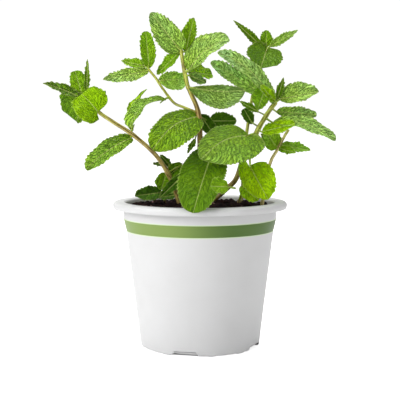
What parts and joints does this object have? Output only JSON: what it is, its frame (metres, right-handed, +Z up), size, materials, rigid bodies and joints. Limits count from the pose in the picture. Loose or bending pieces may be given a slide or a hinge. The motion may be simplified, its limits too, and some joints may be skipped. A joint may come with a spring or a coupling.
{
  "type": "potted mint plant",
  "caption": "Young bushy mint plant with toothed leaves on arching stems, growing from dark soil in a round tapered nursery pot with a rolled rim.",
  "frame": {"origin": "middle of the pot's flat underside", "axes": "+Z up through the pot and the plant; -Y is the front, where the broad low leaf hangs over the rim; +X is the plant's right as seen from the front"},
  "size_m": [0.1856, 0.1185, 0.2145],
  "materials": {
    "pot_plastic": "satin",
    "potting_soil": "rough, damp",
    "mint_green": "soft, lightly veined"
  },
  "bodies": {
    "root": {"pot": "pot_plastic", "soil": "potting_soil", "left_arching_stem": "mint_green", "low_left_stem": "mint_green", "centre_stem": "mint_green", "right_stem": "mint_green", "far_right_stem": "mint_green", "upper_right_stem": "mint_green"}
  },
  "joints": []
}
